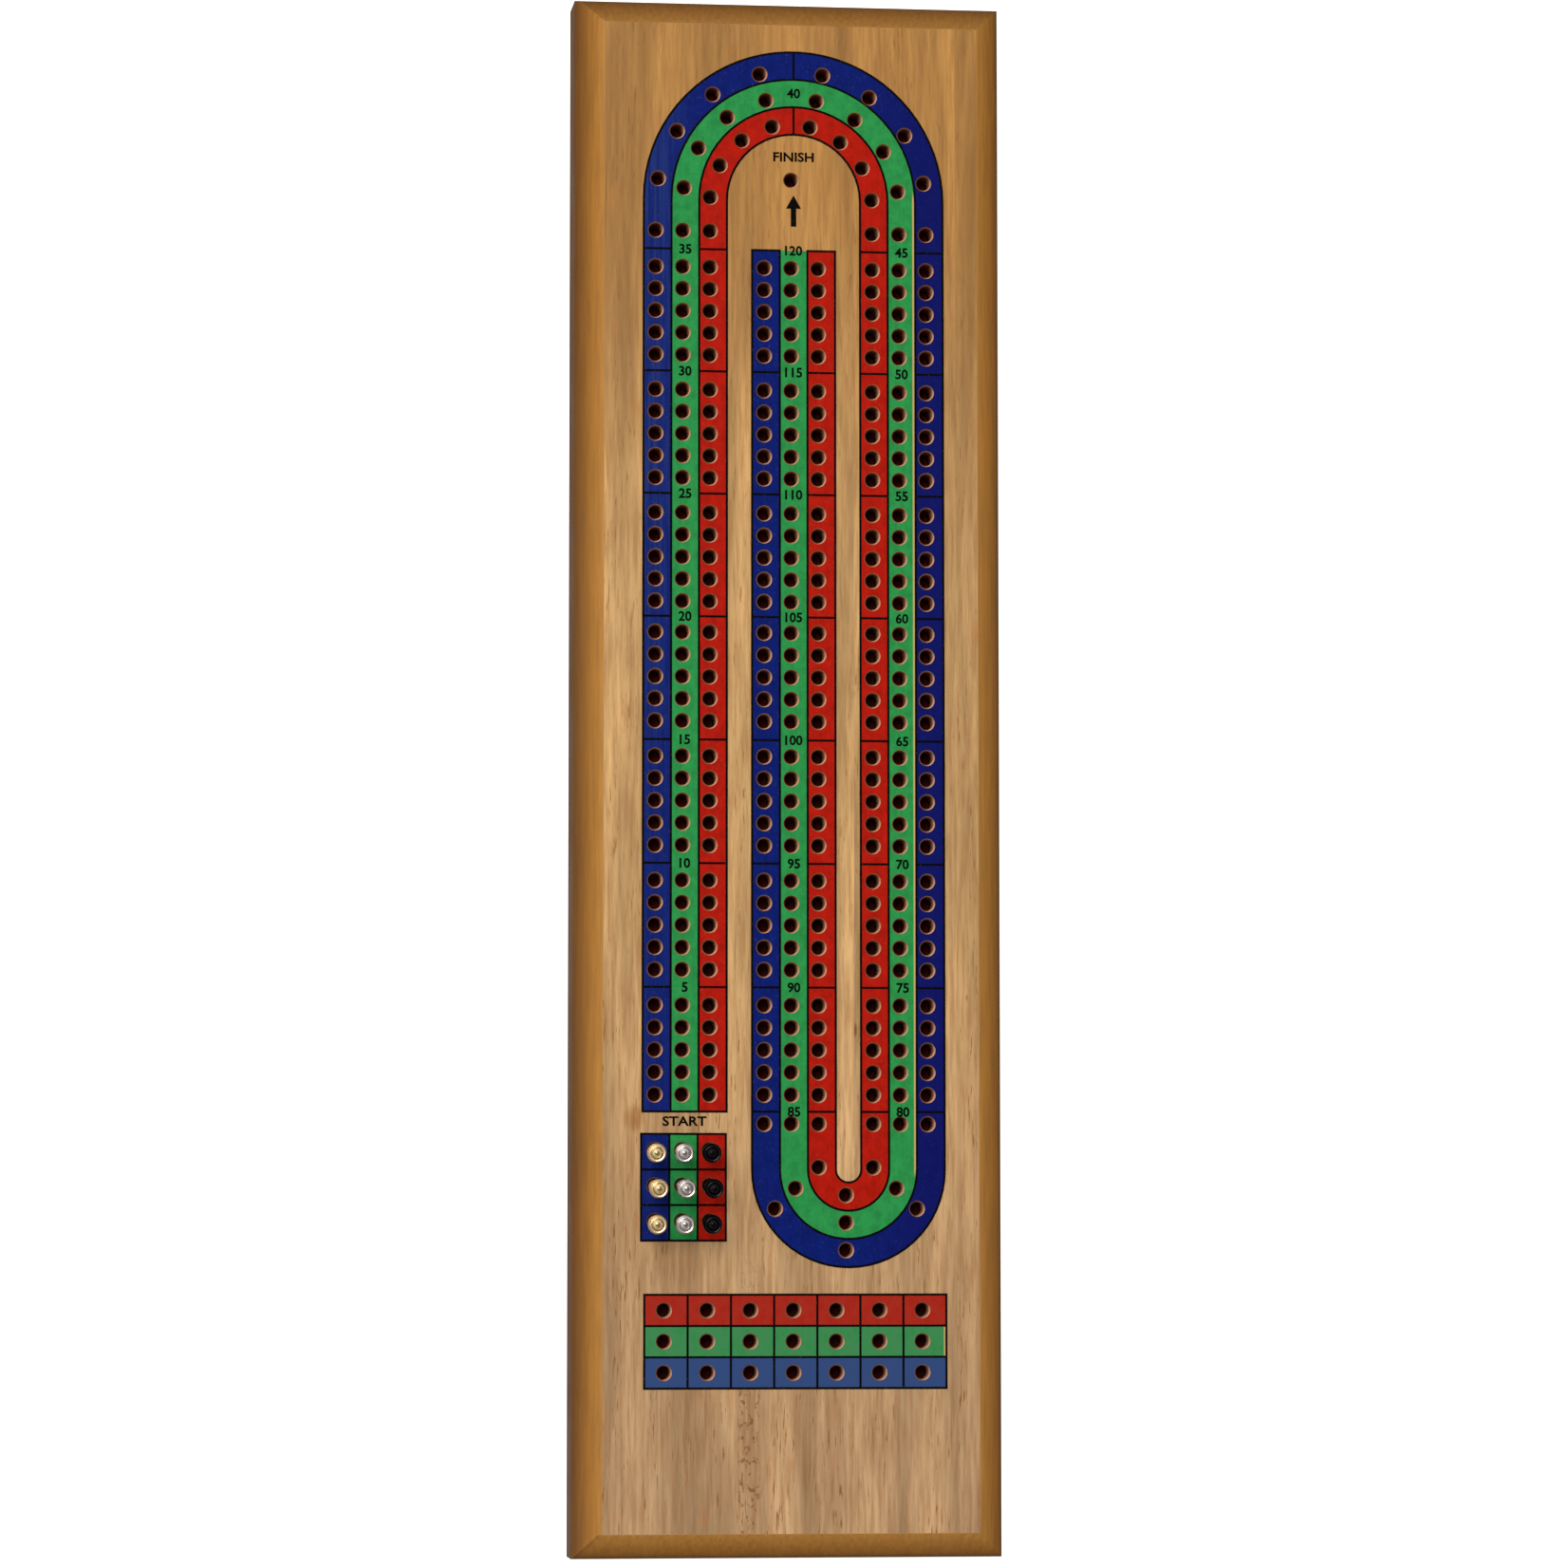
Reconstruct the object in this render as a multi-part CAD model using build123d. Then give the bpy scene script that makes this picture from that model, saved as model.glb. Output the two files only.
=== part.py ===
from build123d import *
import math
import os

# Three-track cribbage board: a glued-up hardwood board with a printed 120-hole track,
# drilled peg holes, nine turned metal pegs and a peg store with a sliding door underneath.
# Millimetres. X is the width, +Y runs towards the finish end, +Z is up.
# The origin is the middle of the underside.

# Board
board_width = 101.6
board_length = 368.3
board_thick = 19.0
bevel_width = 5.8
bevel_drop = 4.5
arris_round = 2.5
foot_round = 0.8
glue_lines = (-12.6, 15.3, 39.7)
stave_names = ("left_stave", "centre_stave", "right_stave", "edge_stave")

# Peg holes
hole_dia = 3.2
hole_depth = 9.0
mouth_dia = 3.8
mouth_depth = 0.3
hole_axis_x = 0.4
hole_lane = 6.45
hole_pitch = 5.25
hole_group_step = 29.3
top_row_y = 119.85
field_join = 0.95
top_turn_y = 135.0
top_turn_first_y = 128.5
apex_gap_deg = 13.5
bottom_turn_y = -93.0
bottom_turn_first_y = -82.8
finish_y = 141.0

# Printed track: three lanes run up the left, over the top, down the right,
# round the bottom turn and up the middle.
track_x = 1.0
track_pitch = 25.8
lane = 6.6
half_track = 1.5 * lane
line = 0.5
separator_top_y = 124.1
separator_step = 29.15
separators = 8
print_top_turn_y = 136.1
print_bottom_turn_y = -93.5
ink = 0.05

# Printed cells
start_left = -35.0
start_top = -85.2
start_cell = (6.64, 8.3)
tally_left = -34.2
tally_top = -122.7
tally_cell = (10.17, 7.27)
tally_columns = 7
tally_hole_x = 0.85
tally_hole_pitch = 10.15
tally_rows = ("red", "green", "blue")
arrow_base_y = 129.9
arrow_length = 7.5
arrow_head = (3.6, 3.2)
arrow_shaft = 1.3

# Pegs
peg_length = 20.0
peg_tip_radius = 0.85
peg_neck_radius = 1.3
peg_head_radius = 2.2
peg_crown_radius = 1.35
peg_crown_half_angle = 60
peg_shank = 9.5
peg_seat = 0.1
peg_metals = ("gold", "silver", "black")
peg_lean = 4.0
peg_side_lean = (-1.8, 0.6, -0.9)
tip_offset = 0.48
start_hole_y = 0.4

# Peg store and its sliding door, in the centre stave's underside
store_x = 0.5 * (glue_lines[0] + glue_lines[1])
store_width = 20.0
store_top_z = 8.3
store_ends = (-166.0, -100.0)
store_corner = 3.0
door_thick = 0.8
door_width = 23.2
door_end_y = -96.0
door_lip = 1.1
groove_height = 1.1
groove_side = 0.2
door_inset = 0.15
thumb_ridge = (13.0, 1.4, 0.7)
thumb_ridge_from_end = 9.0


def edge_section(width):
    """Cross-section of the board with bevelled top edges."""
    half = width / 2
    shoulder = board_thick - bevel_drop
    corners = [
        (-half, 0),
        (half, 0),
        (half, shoulder),
        (half - bevel_width, board_thick),
        (-half + bevel_width, board_thick),
        (-half, shoulder),
    ]
    section = make_face(Polyline(*corners, close=True))
    at_shoulder = section.vertices().filter_by(lambda v: abs(v.Y - shoulder) < 0.01)
    section = fillet(at_shoulder, arris_round)
    at_foot = section.vertices().filter_by(lambda v: abs(v.Y) < 0.01)
    return fillet(at_foot, foot_round)


def bevelled_board():
    """The whole board before drilling, with mitred bevels at its four corners."""
    long_way = extrude(Plane.XZ * edge_section(board_width), board_length / 2, both=True)
    short_way = extrude(Plane.YZ * edge_section(board_length), board_width / 2, both=True)
    return long_way & short_way


def along_turn(straight, radius, distance):
    """Sideways and forward place of a point on a lane that runs straight, then turns."""
    if distance <= straight:
        return radius, distance - straight
    angle = (distance - straight) / radius
    return radius * math.cos(angle), radius * math.sin(angle)


def straight_rows():
    """The rows of holes in a straight stretch: seven groups of five."""
    rows = []
    for group in range(separators - 1):
        first = top_row_y - group * hole_group_step
        if group > 2:
            first += field_join
        rows += [first - step * hole_pitch for step in range(5)]
    return rows


def track_holes():
    """The 120 holes of each of the three lanes."""
    places = []
    for offset in (-hole_lane, 0, hole_lane):
        for y in straight_rows():
            places.append((hole_axis_x - track_pitch - offset, y))
            places.append((hole_axis_x + track_pitch + offset, y))
            places.append((hole_axis_x - offset, y))
        radius = track_pitch + offset
        straight = top_turn_y - top_turn_first_y
        reach = straight + radius * math.radians(90 - apex_gap_deg)
        for step in range(5):
            side, rise = along_turn(straight, radius, reach * step / 4)
            places.append((hole_axis_x - side, top_turn_y + rise))
            places.append((hole_axis_x + side, top_turn_y + rise))
        radius = track_pitch / 2 + offset
        straight = bottom_turn_first_y - bottom_turn_y
        reach = straight + radius * math.radians(90)
        turn_x = hole_axis_x + track_pitch / 2
        for step in range(3):
            side, rise = along_turn(straight, radius, reach * step / 2)
            places.append((turn_x + side, bottom_turn_y - rise))
            if step < 2:
                places.append((turn_x - side, bottom_turn_y - rise))
    return places


def start_holes():
    """Three rows of three holes where the pegs begin, by lane from the left."""
    columns = [hole_axis_x - track_pitch + side for side in (-hole_lane, 0, hole_lane)]
    rows = [start_top - (row + 0.5) * start_cell[1] + start_hole_y for row in range(3)]
    return [[(x, y) for y in rows] for x in columns]


def tally_holes():
    """Three rows of seven holes that count games won."""
    places = []
    for row in range(len(tally_rows)):
        y = tally_top - (row + 0.5) * tally_cell[1]
        for column in range(tally_columns):
            x = tally_hole_x + (column - tally_columns // 2) * tally_hole_pitch
            places.append((x, y))
    return places


def all_holes():
    places = track_holes() + tally_holes() + [(hole_axis_x, finish_y)]
    for column in start_holes():
        places += column
    return places


def drill():
    """One flat-bottomed hole with a countersunk mouth, its mouth centre at the origin."""
    radius = hole_dia / 2
    mouth = mouth_dia / 2
    outline = Polyline(
        (0, 0.2),
        (mouth, 0.2),
        (mouth, 0),
        (radius, -mouth_depth),
        (radius, -hole_depth),
        (0, -hole_depth),
        close=True,
    )
    return revolve(Plane.XZ * make_face(outline), Axis.Z)


def peg_store():
    """The routed store, the window below it and the grooves that the door runs in."""
    inner_end = door_end_y + door_inset
    outer_end = -board_length / 2 - 1
    run = inner_end - outer_end
    run_middle = (inner_end + outer_end) / 2
    groove_top = door_lip + groove_height
    length = store_ends[1] - store_ends[0]
    pocket = RectangleRounded(store_width, length, store_corner)
    pocket = extrude(pocket, store_top_z - door_lip)
    pocket = Pos(store_x, sum(store_ends) / 2, door_lip) * pocket
    groove = Box(door_width + 2 * groove_side, run, groove_height, align=(Align.CENTER, Align.CENTER, Align.MIN))
    groove = Pos(store_x, run_middle, door_lip) * groove
    window = Box(store_width, run, groove_top + 1, align=(Align.CENTER, Align.CENTER, Align.MIN))
    window = Pos(store_x, run_middle, -1) * window
    return pocket + groove + window


def sliding_door():
    """Thin metal plate with a pressed thumb ridge near its outer end."""
    outer_end = -board_length / 2 + door_inset
    length = door_end_y - outer_end
    middle = (door_end_y + outer_end) / 2
    base_z = door_lip + (groove_height - door_thick) / 2
    plate = extrude(RectangleRounded(door_width, length, 1.5), door_thick)
    plate = Pos(store_x, middle, base_z) * plate
    ridge = Box(*thumb_ridge, align=(Align.CENTER, Align.CENTER, Align.MAX))
    ridge = fillet(ridge.faces().sort_by(Axis.Z)[0].edges(), 0.3)
    ridge = Pos(store_x, outer_end + thumb_ridge_from_end, base_z) * ridge
    return plate + ridge


def track_edge(offset):
    """Edges of a line that follows the whole track at an offset towards its outside."""
    left = track_x - track_pitch - offset
    right = track_x + track_pitch + offset
    middle = track_x - offset
    start_y = separator_top_y - (separators - 1) * separator_step
    top_radius = track_pitch + offset
    bottom_radius = track_pitch / 2 + offset
    top = (track_x, print_top_turn_y + top_radius)
    bottom = (track_x + track_pitch / 2, print_bottom_turn_y - bottom_radius)
    return [
        Line((left, start_y), (left, print_top_turn_y)),
        ThreePointArc((left, print_top_turn_y), top, (right, print_top_turn_y)),
        Line((right, print_top_turn_y), (right, print_bottom_turn_y)),
        ThreePointArc((right, print_bottom_turn_y), bottom, (middle, print_bottom_turn_y)),
        Line((middle, print_bottom_turn_y), (middle, separator_top_y)),
    ]


def track_band(inside, outside):
    """The area between two offsets along the whole track."""
    inner = track_edge(inside)
    outer = track_edge(outside)
    start_cap = Line(inner[0] @ 0, outer[0] @ 0)
    end_cap = Line(inner[-1] @ 1, outer[-1] @ 1)
    return make_face([*inner, end_cap, *outer, start_cap])


def block(left, top, width, height):
    return Pos(left + width / 2, top - height / 2) * Rectangle(width, height)


def colour_area(colour):
    """One screen of coloured ink: its lane, its start cells and its tally row."""
    lane_inside = {"blue": lane / 2, "green": -lane / 2, "red": -half_track}[colour]
    start_column = {"blue": 0, "green": 1, "red": 2}[colour]
    tally_row = tally_rows.index(colour)
    start = block(start_left + start_column * start_cell[0], start_top, start_cell[0], 3 * start_cell[1])
    tally = block(tally_left, tally_top - tally_row * tally_cell[1], tally_columns * tally_cell[0], tally_cell[1])
    return Sketch() + [track_band(lane_inside, lane_inside + lane), start, tally]


def rule_grid(left, top, cell, columns, rows):
    """Ruled lines of a grid of cells."""
    width = columns * cell[0]
    height = rows * cell[1]
    rules = []
    for column in range(columns + 1):
        rules.append(Pos(left + column * cell[0], top - height / 2) * Rectangle(line, height + line))
    for row in range(rows + 1):
        rules.append(Pos(left + width / 2, top - row * cell[1]) * Rectangle(width + line, line))
    return rules


def black_lines():
    """Lane lines, separators after every fifth hole, and the cells' rules.

    A separator stops at the green lane, where its number stands, and the first one runs right across.
    """
    rules = [track_band(edge - line / 2, edge + line / 2) for edge in (-half_track, -lane / 2, lane / 2, half_track)]
    start_y = separator_top_y - (separators - 1) * separator_step
    apex = print_top_turn_y + track_pitch
    for side in (-lane, lane):
        for index in range(separators):
            y = separator_top_y - index * separator_step
            for group in (-1, 0, 1):
                x = track_x + group * track_pitch + side
                rules.append(Pos(x, y) * Rectangle(lane + line, line))
        rules.append(Pos(track_x, apex + side) * Rectangle(line, lane))
    rules.append(Pos(track_x - track_pitch, start_y) * Rectangle(2 * half_track + line, line))
    rules += rule_grid(start_left, start_top, start_cell, 3, 3)
    rules += rule_grid(tally_left, tally_top, tally_cell, tally_columns, len(tally_rows))
    return Sketch() + rules


def finish_arrow():
    neck = arrow_base_y + arrow_length - arrow_head[1]
    half_head = arrow_head[0] / 2
    half_shaft = arrow_shaft / 2
    outline = [
        (-half_shaft, arrow_base_y),
        (half_shaft, arrow_base_y),
        (half_shaft, neck),
        (half_head, neck),
        (0, arrow_base_y + arrow_length),
        (-half_head, neck),
        (-half_shaft, neck),
    ]
    return Pos(track_x, 0) * make_face(Polyline(*outline, close=True))


def peg():
    """A turned peg, its tip at the origin: tapered shank, bead, flared body and button head."""
    rim = peg_length - 1.5
    outline = Polyline(
        (0, 0),
        (peg_tip_radius - 0.15, 0),
        (peg_tip_radius, 0.3),
        (peg_neck_radius, peg_shank),
    )
    bead = ThreePointArc((peg_neck_radius, peg_shank), (1.65, peg_shank + 0.55), (1.2, peg_shank + 1.1))
    flare = ThreePointArc((1.2, peg_shank + 1.1), (1.3, rim - 3.0), (peg_head_radius, rim - 0.2))
    edge = ThreePointArc(flare @ 1, (peg_head_radius + 0.06, rim + 0.2), (peg_head_radius - 0.15, rim + 0.6))
    crown_centre = peg_length - peg_crown_radius
    crown_half = math.radians(peg_crown_half_angle)
    crown_points = [
        (peg_crown_radius * math.sin(angle), crown_centre + peg_crown_radius * math.cos(angle))
        for angle in (crown_half, crown_half / 2, 0)
    ]
    dish = ThreePointArc(edge @ 1, (1.55, rim + 0.42), crown_points[0])
    crown = ThreePointArc(*crown_points)
    spine = Line(crown @ 1, (0, 0))
    face = make_face([*outline.edges(), bead, flare, edge, dish, crown, spine])
    return revolve(Plane.XZ * face, Axis.Z)


def peg_axis(row):
    """Direction of a peg that leans in its slightly larger hole."""
    side = math.sin(math.radians(peg_side_lean[row]))
    along = -math.sin(math.radians(peg_lean))
    return Vector(side, along, math.sqrt(1 - side * side - along * along))


def standing_peg(place, row):
    """A peg in its hole, its tip pushed over to the side that it leans away from."""
    axis = peg_axis(row)
    lean = Vector(axis.X, axis.Y, 0).normalized() * tip_offset
    tip = Vector(place[0], place[1], board_thick - hole_depth + peg_seat) - lean
    return Plane(origin=tip, z_dir=axis).location * peg()


def main():
    nodes = {}
    bit = drill()
    holes = all_holes()
    board = bevelled_board()
    bounds = [-board_width / 2, *glue_lines, board_width / 2]
    for name, low, high in zip(stave_names, bounds, bounds[1:]):
        cut = Pos((low + high) / 2, 0, board_thick / 2) * Box(high - low, board_length, board_thick)
        stave = board & cut
        reach = mouth_dia / 2
        bits = [Pos(x, y, board_thick) * bit for x, y in holes if low - reach < x < high + reach]
        stave = stave - bits if bits else stave
        if name == "centre_stave":
            stave = stave - peg_store()
        nodes[name] = stave

    nodes["store_door"] = sliding_door()

    mouths = [Pos(x, y) * Circle(mouth_dia / 2) for x, y in holes]
    for colour in tally_rows:
        area = colour_area(colour) - mouths
        nodes[colour + "_ink"] = extrude(Pos(0, 0, board_thick) * area, ink)
    lines = extrude(Pos(0, 0, board_thick + ink) * (black_lines() - mouths), ink)
    arrow = extrude(Pos(0, 0, board_thick) * finish_arrow(), ink)
    nodes["black_ink"] = Compound(children=[*lines.solids(), *arrow.solids()])

    for metal, column in zip(peg_metals, start_holes()):
        for row, place in enumerate(column):
            nodes[f"{metal}_peg_{row + 1}"] = standing_peg(place, row)

    os.makedirs("parts", exist_ok=True)
    for name, shape in nodes.items():
        export_step(shape, f"parts/{name}.step")
        box = shape.bounding_box()
        print(name, len(shape.solids()), "solids", round(shape.volume, 2), box.min, box.max)


main()
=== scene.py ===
"""Looks for a three-track cribbage board: oiled hardwood, screen-printed lanes and turned pegs."""

import math

import bmesh
import bpy
from bpy.props import FloatProperty, FloatVectorProperty, IntProperty, PointerProperty
from mathutils import Matrix, Vector


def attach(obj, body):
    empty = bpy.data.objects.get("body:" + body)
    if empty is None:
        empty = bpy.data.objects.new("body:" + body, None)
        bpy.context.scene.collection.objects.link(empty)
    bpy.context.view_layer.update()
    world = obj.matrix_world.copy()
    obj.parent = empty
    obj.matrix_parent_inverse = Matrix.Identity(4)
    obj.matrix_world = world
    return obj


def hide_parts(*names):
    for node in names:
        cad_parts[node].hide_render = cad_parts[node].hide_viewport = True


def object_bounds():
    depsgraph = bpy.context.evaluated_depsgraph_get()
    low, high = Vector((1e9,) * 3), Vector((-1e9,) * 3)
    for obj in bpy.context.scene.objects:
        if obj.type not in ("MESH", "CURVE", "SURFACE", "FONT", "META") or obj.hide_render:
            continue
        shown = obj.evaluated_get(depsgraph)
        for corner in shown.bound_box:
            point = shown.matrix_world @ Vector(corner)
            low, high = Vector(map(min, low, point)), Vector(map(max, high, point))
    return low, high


bl_info = {
    "name": "Cribbage board",
    "version": (1, 0, 0),
    "blender": (4, 5, 0),
    "location": "View3D > Sidebar > Cribbage",
    "description": "Finishes a three-track cribbage board, its pegs and its peg store door",
    "category": "Object",
}

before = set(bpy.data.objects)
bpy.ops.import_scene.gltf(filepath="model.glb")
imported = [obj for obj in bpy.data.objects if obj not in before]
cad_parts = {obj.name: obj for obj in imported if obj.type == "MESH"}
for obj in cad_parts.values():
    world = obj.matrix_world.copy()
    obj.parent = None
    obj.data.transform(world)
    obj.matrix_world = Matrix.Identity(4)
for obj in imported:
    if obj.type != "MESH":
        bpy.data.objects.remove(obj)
cad_low, cad_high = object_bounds()

MM = 0.001
STAVES = ("left_stave", "centre_stave", "right_stave", "edge_stave")
METALS = ("gold", "silver", "black")
PEGS_PER_METAL = 3

HOLES_PER_NUMBER = 5
TURN_NUMBER = 40
LAST_NUMBER = 120
LETTER_CURVE_STEPS = 3
LETTER_WEIGHT = 0.026

WOOD_SPECULAR = 0.1
INK_SPECULAR = 0.02
HOLE_FLOOR = 9.0 * MM
LEFT_TONE_REACH = 1.0 * MM
# Normal that the far rim of a hole faces, towards the key light: rims facing it are painted pale as a
# highlight, the others dark as painted shade.
PAINTED_RIM_LIGHT_FACING = (-0.86, 0.51, 0.0)
# Painted light and shade of the bevel sides: the top end darkest, the right side and the foot lightest,
# the left side painted partly light.
PAINTED_BEVEL_SIDE_LIGHT = (0.78, 1.24)
LEFT_PAINTED_SIDE_LIGHT = 0.75

KEY_PLACE = (-0.55, 0.50, 1.75)
KEY_SIZE = 1.1
FLOOR_REACH = 4.0
FLOOR_DROP = 0.2 * MM
SENSOR_WIDTH = 36


def srgb(red, green, blue):
    """A colour given in 0 to 255 as the linear colour that a shader takes."""
    levels = [level / 255 for level in (red, green, blue)]
    return [v / 12.92 if v <= 0.04045 else ((v + 0.055) / 1.055) ** 2.4 for v in levels]


def opaque(colour):
    return (*colour, 1.0)


def length(name, description, default):
    """A length in metres."""
    return FloatProperty(name=name, description=description, default=default, unit="LENGTH", precision=5)


def point(name, description, default):
    """A point in metres, in the frame of the board."""
    return FloatVectorProperty(
        name=name, description=description, default=default, size=len(default), unit="LENGTH"
    )


def tilt(name, description, degrees):
    return FloatProperty(
        name=name, description=description, default=math.radians(degrees), subtype="ANGLE"
    )


def colour(name, description, default):
    return FloatVectorProperty(
        name=name, description=description, default=default, subtype="COLOR", min=0, max=1
    )


# ---------------------------------------------------------------- settings


class BoardSettings(bpy.types.PropertyGroup):
    """Sizes of the board and of its print, as in the solid model."""

    thick: length("Thickness", "Height of the face above the underside", 0.019)
    bevel: length("Bevel", "Width of the bevel round the face", 0.0058)
    ink: length("Ink", "Thickness of one layer of ink", 0.00005)
    track_x: length("Track centre", "Middle of the middle lanes", 0.001)
    track_pitch: length("Track pitch", "From one group of lanes to the next", 0.0258)
    separator_top: length("First separator", "Height of the topmost separator on the face", 0.1241)
    separator_step: length("Separator step", "From one separator to the next", 0.02915)
    separators: IntProperty(
        name="Separators", description="Separators in a group of lanes", default=8, min=1
    )
    apex_y: length("Apex", "Middle of the green lane where it turns", 0.1619)
    number_height: length("Number height", "Height of the numbers in the green lane", 0.00235)
    start_word: point("Start word", "Middle of the word", (-0.0248, -0.0822))
    start_width: length("Start width", "Width of the word", 0.0104)
    finish_word: point("Finish word", "Middle of the word", (0.001, 0.1466))
    finish_width: length("Finish width", "Width of the word", 0.0097)
    word_height: length("Word height", "Height of both words", 0.0023)


class PegSettings(bpy.types.PropertyGroup):
    """Sizes of a turned peg and where the pegs stand."""

    first_x: length("First column", "Holes of the gold pegs", -0.03185)
    column_step: length("Column step", "From one lane to the next", 0.00645)
    first_y: length("First row", "Holes nearest the word", -0.08895)
    row_step: length("Row step", "From one row to the next", 0.0083)
    hole_bottom: length("Hole bottom", "Height where a tip stands", 0.0101)
    tip_offset: length("Tip offset", "How far a tip is pushed over in its hole", 0.00048)
    lean: tilt("Lean", "Tilt of a peg in its slack hole", 4.0)
    side_lean: FloatVectorProperty(
        name="Side lean",
        description="Sideways tilt in each row",
        default=[math.radians(degrees) for degrees in (-1.8, 0.6, -0.9)],
        size=3,
        subtype="EULER",
    )
    turns: IntProperty(name="Turns", description="Steps round a turned peg", default=64, min=12)


class ColourSettings(bpy.types.PropertyGroup):
    """Colours of wood, ink and plate."""

    wood_top: colour("Wood, finish end", "Warmest part of the face", srgb(170, 123, 64))
    wood_middle: colour("Wood, middle", "Middle of the face", srgb(198, 157, 103))
    wood_foot: colour("Wood, foot end", "Palest part of the face", srgb(178, 143, 104))
    pore: colour("Pores", "Open pores and dark fibres", srgb(128, 84, 44))
    burnish: colour("Burnished bevel", "Inner part of the bevels", srgb(162, 112, 50))
    side: colour("Toned bevel", "Middle of the bevels", srgb(140, 92, 34))
    outline: colour("Outline", "Shoulder and sides", srgb(98, 60, 20))
    # Raw wood is the bare rim of a hole, painted as a highlight on the side that faces the key light; rim
    # shade is painted shade on the other side.
    raw_wood: colour("Raw wood", "Worn rim of a drilled hole", srgb(190, 138, 110))
    rim_shade: colour("Rim shade", "Rim of a hole away from the light", srgb(92, 48, 28))
    # Bore is painted shade, deepening with depth inside a hole.
    bore: colour("Bore", "Deep inside a hole", srgb(104, 34, 14))
    blue: colour("Blue ink", "Outer lane", srgb(10, 26, 98))
    green: colour("Green ink", "Middle lane", srgb(40, 134, 67))
    red: colour("Red ink", "Inner lane", srgb(164, 23, 10))
    black: colour("Black ink", "Lines, numbers and words", srgb(6, 4, 4))
    gold: colour("Gold plate", "Pegs of the blue lane", srgb(246, 224, 178))
    silver: colour("Nickel plate", "Pegs of the green lane", srgb(226, 222, 216))
    dark: colour("Black nickel", "Pegs of the red lane", srgb(34, 32, 36))
    steel: colour("Door steel", "Sliding door", srgb(176, 178, 180))


class StudioSettings(bpy.types.PropertyGroup):
    """Light and camera."""

    distance: length("Camera distance", "From the middle of the face", 1.4)
    from_left: tilt("From the left", "How far left the camera stands", 6.72)
    from_foot: tilt("From the foot", "How far down the camera stands", 4.58)
    aim: point("Aim", "Where the camera looks", (-0.00132, -0.00284, 0.019))
    lens: FloatProperty(name="Lens", description="Focal length in millimetres", default=136.44, min=10)
    roll: tilt("Roll", "Turn of the camera about its view", 0.02)
    key_power: FloatProperty(
        name="Key light", description="Power of the key light", default=25, min=0, unit="POWER"
    )
    sky: FloatProperty(name="Sky", description="Strength of the soft light all round", default=0.76, min=0)


class CribbageSettings(bpy.types.PropertyGroup):
    """Everything that a maker may change."""

    board: PointerProperty(type=BoardSettings)
    pegs: PointerProperty(type=PegSettings)
    colours: PointerProperty(type=ColourSettings)
    studio: PointerProperty(type=StudioSettings)


def settings():
    return bpy.context.scene.cribbage


# ---------------------------------------------------------------- node helpers


class Nodes:
    """Adds and joins the nodes of one material or node group."""

    def __init__(self, tree):
        self.tree = tree

    def put(self, value, socket):
        if isinstance(value, bpy.types.NodeSocket):
            self.tree.links.new(value, socket)
        else:
            socket.default_value = value

    def add(self, kind, inputs=None, **looks):
        node = self.tree.nodes.new(kind)
        for name, value in looks.items():
            setattr(node, name, value)
        for name, value in (inputs or {}).items():
            self.put(value, node.inputs[name])
        return node

    def math(self, operation, first, second=0.0, clamp=False):
        node = self.add("ShaderNodeMath", operation=operation, use_clamp=clamp)
        self.put(first, node.inputs[0])
        self.put(second, node.inputs[1])
        return node.outputs[0]

    def span(self, value, low, high, start=0.0, end=1.0, smooth=True):
        """value taken from low..high to start..end, and held there beyond them."""
        node = self.add("ShaderNodeMapRange", interpolation_type="SMOOTHSTEP" if smooth else "LINEAR")
        for name, setting in (("Value", value), ("From Min", low), ("From Max", high)):
            self.put(setting, node.inputs[name])
        for name, setting in (("To Min", start), ("To Max", end)):
            self.put(setting, node.inputs[name])
        return node.outputs["Result"]

    def mix(self, factor, first, second, blend="MIX"):
        node = self.add("ShaderNodeMix", data_type="RGBA", blend_type=blend)
        self.put(factor, node.inputs[0])
        self.put(first, node.inputs[6])
        self.put(second, node.inputs[7])
        return node.outputs[2]

    def noise(self, vector, scale, detail=3.0, roughness=0.55, distortion=0.0):
        """Noise on a vector stretched by scale, one figure for each axis."""
        stretched = self.add("ShaderNodeMapping", {"Vector": vector, "Scale": scale})
        looks = {"Vector": stretched.outputs[0], "Scale": 1.0, "Detail": detail}
        looks.update({"Roughness": roughness, "Distortion": distortion})
        return self.add("ShaderNodeTexNoise", looks).outputs["Fac"]

    def parts(self, vector):
        return self.add("ShaderNodeSeparateXYZ", {"Vector": vector}).outputs

    def object_vector(self, offset=(0, 0, 0)):
        place = self.add("ShaderNodeTexCoord").outputs["Object"]
        return self.add("ShaderNodeMapping", {"Vector": place, "Location": offset}).outputs[0]

    def group(self, name, **inputs):
        node = self.add("ShaderNodeGroup", node_tree=bpy.data.node_groups[name])
        for socket, value in inputs.items():
            self.put(value, node.inputs[socket])
        return node.outputs


def new_group(name, inputs, outputs):
    """An empty node group with the named sockets, and its input and output nodes."""
    tree = bpy.data.node_groups.new(name, "ShaderNodeTree")
    for socket, kind in inputs:
        tree.interface.new_socket(socket, in_out="INPUT", socket_type="NodeSocket" + kind)
    for socket in outputs:
        tree.interface.new_socket(socket, in_out="OUTPUT", socket_type="NodeSocketFloat")
    return tree, tree.nodes.new("NodeGroupInput").outputs, tree.nodes.new("NodeGroupOutput").inputs


def new_material(name):
    """A material with only its Principled shader, and the helper that fills it."""
    material = bpy.data.materials.new(name)
    material.use_nodes = True
    tree = material.node_tree
    tree.nodes.clear()
    nodes = Nodes(tree)
    shader = nodes.add("ShaderNodeBsdfPrincipled")
    nodes.add("ShaderNodeOutputMaterial", {"Surface": shader.outputs[0]})
    return material, nodes, shader


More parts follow.
